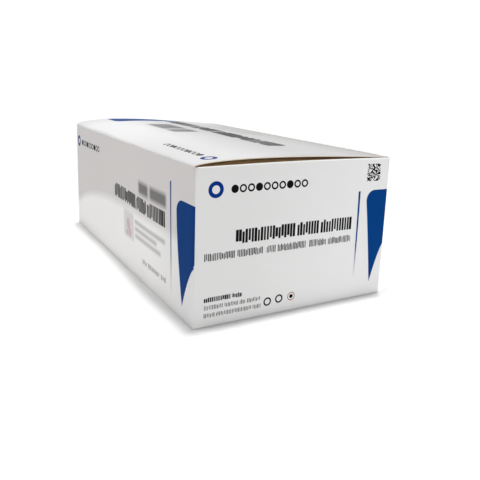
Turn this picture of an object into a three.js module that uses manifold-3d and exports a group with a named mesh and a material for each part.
// A folding carton of coated board, holding stacks of full-arch dental bite trays.
// Millimetres, +Z up. The origin is the centre of the carton's underside; the end wall with the
// title faces -Y, the long walls face -X and +X, and the lid is creased to the -X wall.

import * as THREE from 'three';
import Module from 'manifold-3d';
import { mergeVertices } from 'three/addons/utils/BufferGeometryUtils.js';

const wasm = await Module();
wasm.setup();

// ---------------------------------------------------------------- driving dimensions

const CARTON = { width: 128, length: 240, height: 85 };
const BOARD = 0.5; // thickness of the board
const GAP = 0.3; // clearance between neighbouring pieces

const LID = {
  from: -63.7,
  to: 63.0,
  frontRise: 2.2, // how far the lid bows up along its front edge
  backRise: 4.6,
  bowPower: 0.53, // puts the top of the bow about a quarter of the way across
  columns: 14,
  rows: 4,
};

const TAB = { depth: 18, length: 226, lean: 10, endTaper: 6 }; // lean and endTaper: degrees, mm
const DUST_FLAP = { depth: 48, shoulder: 2.5, hingeSideSlope: 0.488, tuckSideSetback: 5.5, cornerCut: 6 };
const GLUE_FLAP = { width: 18, endClearance: 6, taper: 4 };
const BOTTOM_FLAP = { depth: 48, taper: 5 };

const TRAY = {
  wall: 1.2,
  height: 19,
  outer: { halfWidth: 37.5, leg: 28, nose: 34 },
  inner: { halfWidth: 21, leg: 27, nose: 18, height: 10 },
  rearBar: { depth: 1.8, height: 3 },
  handle: { width: 24, length: 31, thickness: 2.4, railWidth: 2, railHeight: 5, slotWidth: 6, slotLength: 14 },
  gauze: 0.4,
  curveSteps: 14,
};
const STACKS = 3;
const LAYERS = 4;
const STACK_PITCH = 78;
const LAYER_PITCH = TRAY.height + 0.4;

// ---------------------------------------------------------------- derived levels

const halfWidth = CARTON.width / 2;
const halfLength = CARTON.length / 2;
const wallTop = CARTON.height - GAP;
const insideX = halfWidth - BOARD - GAP; // as far as a panel between the long walls reaches
const insideY = halfLength - BOARD - GAP;
const innerBottomZ = BOARD + GAP;
const bottomFlapZ = innerBottomZ + BOARD + GAP;
const contentsZ = bottomFlapZ + BOARD + GAP;
const dustFlapTop = wallTop - GAP;
const trayMiddle = TRAY.height / 2;
const trayLength = TRAY.outer.leg + TRAY.outer.nose + TRAY.handle.length;

// ---------------------------------------------------------------- materials

const coatedBoard = new THREE.MeshStandardMaterial({ color: 0xeeeeee, roughness: 0.45, metalness: 0 });
const kraftBoard = new THREE.MeshStandardMaterial({ color: 0xa98563, roughness: 0.85, metalness: 0 });
const trayPlastic = new THREE.MeshStandardMaterial({ color: 0xe98fa8, roughness: 0.35, metalness: 0 });
const gauzeCloth = new THREE.MeshStandardMaterial({ color: 0xf4f2ec, roughness: 0.95, metalness: 0 });

const carton = new THREE.Group();

function addMesh(name, geometry, material) {
  const mesh = new THREE.Mesh(geometry, material);
  mesh.name = name;
  carton.add(mesh);
  return mesh;
}

// ---------------------------------------------------------------- shapes

// A rectangular panel between two corners.
function panel(name, low, high, material) {
  const size = high.map((value, axis) => value - low[axis]);
  const mesh = addMesh(name, new THREE.BoxGeometry(...size), material);
  mesh.position.set(...low.map((value, axis) => value + size[axis] / 2));
  return mesh;
}

// A flat outline in X and Y, given height.
function slab(points, height, lift = 0) {
  const shape = new THREE.Shape(points.map(([x, y]) => new THREE.Vector2(x, y)));
  const geometry = new THREE.ExtrudeGeometry(shape, { depth: height, bevelEnabled: false });
  return geometry.translate(0, 0, lift);
}

function toSolid(geometry) {
  const bare = geometry.clone();
  bare.deleteAttribute('normal');
  bare.deleteAttribute('uv');
  const merged = mergeVertices(bare, 1e-4);
  return new wasm.Manifold(new wasm.Mesh({
    numProp: 3,
    vertProperties: new Float32Array(merged.attributes.position.array),
    triVerts: new Uint32Array(merged.index.array),
  }));
}

function toGeometry(solid) {
  const mesh = solid.getMesh();
  const geometry = new THREE.BufferGeometry();
  geometry.setAttribute('position', new THREE.BufferAttribute(mesh.vertProperties, 3));
  geometry.setIndex(new THREE.BufferAttribute(mesh.triVerts, 1));
  geometry.computeVertexNormals();
  return geometry;
}

// ---------------------------------------------------------------- carton walls and bottom

function addWalls() {
  for (const [name, side] of [['front_wall', -1], ['back_wall', 1]]) {
    const faces = [side * halfLength, side * (halfLength - BOARD)].sort((a, b) => a - b);
    panel(name, [-halfWidth, faces[0], 0], [halfWidth, faces[1], wallTop], coatedBoard);
  }
  for (const [name, side] of [['left_wall', -1], ['right_wall', 1]]) {
    const faces = [side * halfWidth, side * (halfWidth - BOARD)].sort((a, b) => a - b);
    panel(name, [faces[0], -insideY, 0], [faces[1], insideY, wallTop], coatedBoard);
  }
}

// The seam flap is creased to the +X wall and glued inside the back wall.
function addGlueFlap() {
  const outline = [
    [insideX, GLUE_FLAP.endClearance],
    [insideX, wallTop - GLUE_FLAP.endClearance],
    [insideX - GLUE_FLAP.width, wallTop - GLUE_FLAP.endClearance - GLUE_FLAP.taper],
    [insideX - GLUE_FLAP.width, GLUE_FLAP.endClearance + GLUE_FLAP.taper],
  ];
  const flap = addMesh('glue_flap', slab(outline, BOARD), kraftBoard);
  flap.rotation.x = Math.PI / 2;
  flap.position.y = insideY;
}

// Two short flaps inside, then two long panels glued over each other below them.
function addBottom() {
  panel('outer_bottom_panel', [-insideX, -insideY, 0], [insideX, insideY, BOARD], coatedBoard);
  panel(
    'inner_bottom_panel',
    [-insideX, -insideY, innerBottomZ],
    [insideX, insideY, innerBottomZ + BOARD],
    kraftBoard,
  );
  for (const [name, side] of [['bottom_front_flap', -1], ['bottom_back_flap', 1]]) {
    const outline = [
      [-insideX, side * insideY],
      [insideX, side * insideY],
      [insideX - BOTTOM_FLAP.taper, side * (insideY - BOTTOM_FLAP.depth)],
      [-insideX + BOTTOM_FLAP.taper, side * (insideY - BOTTOM_FLAP.depth)],
    ];
    addMesh(name, slab(outline, BOARD, bottomFlapZ), kraftBoard);
  }
}

// ---------------------------------------------------------------- lid, tab and dust flaps

// Height of the lid's bow: nothing along the long edges, highest a quarter of the way across.
function lidRise(x, y) {
  const across = THREE.MathUtils.clamp((x + halfWidth) / CARTON.width, 0, 1);
  const peak = THREE.MathUtils.mapLinear(y, -halfLength, halfLength, LID.frontRise, LID.backRise);
  return peak * Math.sin(Math.PI * across ** LID.bowPower);
}

// A plate over a grid of points, whose underside follows a height function.
function bowedPlate(columns, rows, place, underside, thickness) {
  const positions = [];
  const index = [];
  const layerSize = (columns + 1) * (rows + 1);
  const at = (i, j, layer) => layer * layerSize + j * (columns + 1) + i;
  for (const lift of [0, thickness]) {
    for (let j = 0; j <= rows; j++) {
      for (let i = 0; i <= columns; i++) {
        const [x, y] = place(i / columns, j / rows);
        positions.push(x, y, underside(x, y) + lift);
      }
    }
  }
  const quad = (a, b, c, d) => index.push(a, b, c, a, c, d);
  for (let j = 0; j < rows; j++) {
    for (let i = 0; i < columns; i++) {
      quad(at(i, j, 0), at(i, j + 1, 0), at(i + 1, j + 1, 0), at(i + 1, j, 0));
      quad(at(i, j, 1), at(i + 1, j, 1), at(i + 1, j + 1, 1), at(i, j + 1, 1));
    }
  }
  for (let i = 0; i < columns; i++) {
    quad(at(i, 0, 0), at(i + 1, 0, 0), at(i + 1, 0, 1), at(i, 0, 1));
    quad(at(i + 1, rows, 0), at(i, rows, 0), at(i, rows, 1), at(i + 1, rows, 1));
  }
  for (let j = 0; j < rows; j++) {
    quad(at(0, j + 1, 0), at(0, j, 0), at(0, j, 1), at(0, j + 1, 1));
    quad(at(columns, j, 0), at(columns, j + 1, 0), at(columns, j + 1, 1), at(columns, j, 1));
  }
  const geometry = new THREE.BufferGeometry();
  geometry.setAttribute('position', new THREE.Float32BufferAttribute(positions, 3));
  geometry.setIndex(index);
  geometry.computeVertexNormals();
  return geometry;
}

function addLid() {
  const place = (u, v) => [
    THREE.MathUtils.lerp(LID.from, LID.to, u),
    THREE.MathUtils.lerp(-halfLength, halfLength, v),
  ];
  const underside = (x, y) => CARTON.height + lidRise(x, y);
  addMesh('lid', bowedPlate(LID.columns, LID.rows, place, underside, BOARD), coatedBoard);
}

// The tab hangs from the lid's +X edge, just inside the wall, and leans in a little.
function addTuckTab() {
  const half = TAB.length / 2;
  const outline = [
    [0, -half],
    [TAB.depth - TAB.endTaper, -half + TAB.endTaper / 2],
    [TAB.depth, -half + 2 * TAB.endTaper],
    [TAB.depth, half - 2 * TAB.endTaper],
    [TAB.depth - TAB.endTaper, half - TAB.endTaper / 2],
    [0, half],
  ];
  const tab = addMesh('tuck_tab', slab(outline, BOARD, -BOARD), coatedBoard);
  tab.rotation.y = THREE.MathUtils.degToRad(90 + TAB.lean);
  tab.position.set(insideX, 0, wallTop - GAP / 3);
}

// Each dust flap is cut back on the lid's hinge side, so that it stays below the rising lid.
function addDustFlaps() {
  const { depth, shoulder, hingeSideSlope, tuckSideSetback, cornerCut } = DUST_FLAP;
  const hingeSide = (reach) => -halfWidth + 1.5 + hingeSideSlope * reach;
  for (const [name, side] of [['front_dust_flap', -1], ['back_dust_flap', 1]]) {
    const y = (reach) => side * (insideY - GAP - reach);
    const outline = [
      [hingeSide(0), y(0)],
      [insideX - 1, y(0)],
      [insideX - 1, y(shoulder)],
      [insideX - tuckSideSetback, y(shoulder + 1.5)],
      [insideX - tuckSideSetback, y(depth - cornerCut)],
      [insideX - tuckSideSetback - cornerCut, y(depth)],
      [hingeSide(depth), y(depth)],
    ];
    addMesh(name, slab(outline, BOARD, dustFlapTop - BOARD), kraftBoard);
  }
}

// ---------------------------------------------------------------- trays

// Horseshoe line: a straight leg, a half ellipse round the front, and the other leg.
function horseshoe({ halfWidth: half, leg, nose }, inset, rear) {
  const points = [[rear, -half + inset]];
  for (let step = 0; step <= TRAY.curveSteps; step++) {
    const angle = -Math.PI / 2 + (Math.PI * step) / TRAY.curveSteps;
    points.push([leg + (nose - inset) * Math.cos(angle), (half - inset) * Math.sin(angle)]);
  }
  points.push([rear, half - inset]);
  return points;
}

function band(outside, inside) {
  return [...outside, ...inside.toReversed()];
}

// The frame, with its rear at x = 0 and its handle pointing along +X.
function trayFrameGeometry() {
  const { outer, inner, wall, rearBar, handle } = TRAY;
  const outerWall = slab(band(horseshoe(outer, 0, 0), horseshoe(outer, wall, 0)), TRAY.height);
  const innerLift = trayMiddle - inner.height / 2;
  const innerWall = slab(band(horseshoe(inner, 0, 0), horseshoe(inner, wall, 0)), inner.height, innerLift);
  let frame = toSolid(outerWall).add(toSolid(innerWall));

  const barFrom = inner.halfWidth - wall / 2;
  const barTo = outer.halfWidth - wall / 2;
  for (const side of [-1, 1]) {
    const bar = new THREE.BoxGeometry(rearBar.depth, barTo - barFrom, rearBar.height);
    bar.translate(rearBar.depth / 2, (side * (barFrom + barTo)) / 2, trayMiddle);
    frame = frame.add(toSolid(bar));
  }

  return toGeometry(frame.add(trayHandle()));
}

// A ribbed plate with a slot. It starts inside the curved wall and is trimmed to the wall's outside.
function trayHandle() {
  const { outer, wall, height, handle } = TRAY;
  const corner = handle.width / 4;
  const half = handle.width / 2;
  const root = outer.leg + outer.nose - corner;
  const outline = [
    [root, -half], [trayLength - corner, -half], [trayLength, corner - half],
    [trayLength, half - corner], [trayLength - corner, half], [root, half],
  ];
  let plate = toSolid(slab(outline, handle.thickness, trayMiddle - handle.thickness / 2));
  const railLength = trayLength - corner - root;
  for (const side of [-1, 1]) {
    const rail = new THREE.BoxGeometry(railLength, handle.railWidth, handle.railHeight);
    rail.translate(root + railLength / 2, side * (half - handle.railWidth / 2), trayMiddle);
    plate = plate.add(toSolid(rail));
  }
  const slot = new THREE.BoxGeometry(handle.slotWidth, handle.slotLength, height);
  slot.translate(trayLength - 2 * handle.slotWidth, 0, trayMiddle);
  const insideOfWall = slab(horseshoe(outer, wall / 2, 0), height);
  return plate.subtract(toSolid(slot)).subtract(toSolid(insideOfWall));
}

// The gauze fills the channel between the two walls, in the frame's middle plane.
function trayGauzeGeometry() {
  const { outer, inner, wall, rearBar, gauze } = TRAY;
  const rear = rearBar.depth + GAP;
  const outline = band(horseshoe(outer, wall + GAP, rear), horseshoe(inner, -GAP, rear));
  return slab(outline, gauze, trayMiddle - gauze / 2);
}

// Stacks stand side by side along Y; the handles of the middle stack point the other way.
function addTrays() {
  const frameGeometry = trayFrameGeometry();
  const gauzeGeometry = trayGauzeGeometry();
  for (let stack = 0; stack < STACKS; stack++) {
    const heading = stack % 2 === 0 ? 1 : -1;
    for (let layer = 0; layer < LAYERS; layer++) {
      const number = stack * LAYERS + layer + 1;
      const place = new THREE.Vector3(
        (-heading * trayLength) / 2,
        (stack - (STACKS - 1) / 2) * STACK_PITCH,
        contentsZ + layer * LAYER_PITCH,
      );
      const frame = addMesh(`tray_frame_${number}`, frameGeometry, trayPlastic);
      const gauze = addMesh(`tray_gauze_${number}`, gauzeGeometry, gauzeCloth);
      for (const mesh of [frame, gauze]) {
        mesh.rotation.z = heading > 0 ? 0 : Math.PI;
        mesh.position.copy(place);
      }
    }
  }
}

addWalls();
addGlueFlap();
addBottom();
addLid();
addTuckTab();
addDustFlaps();
addTrays();

export default carton;
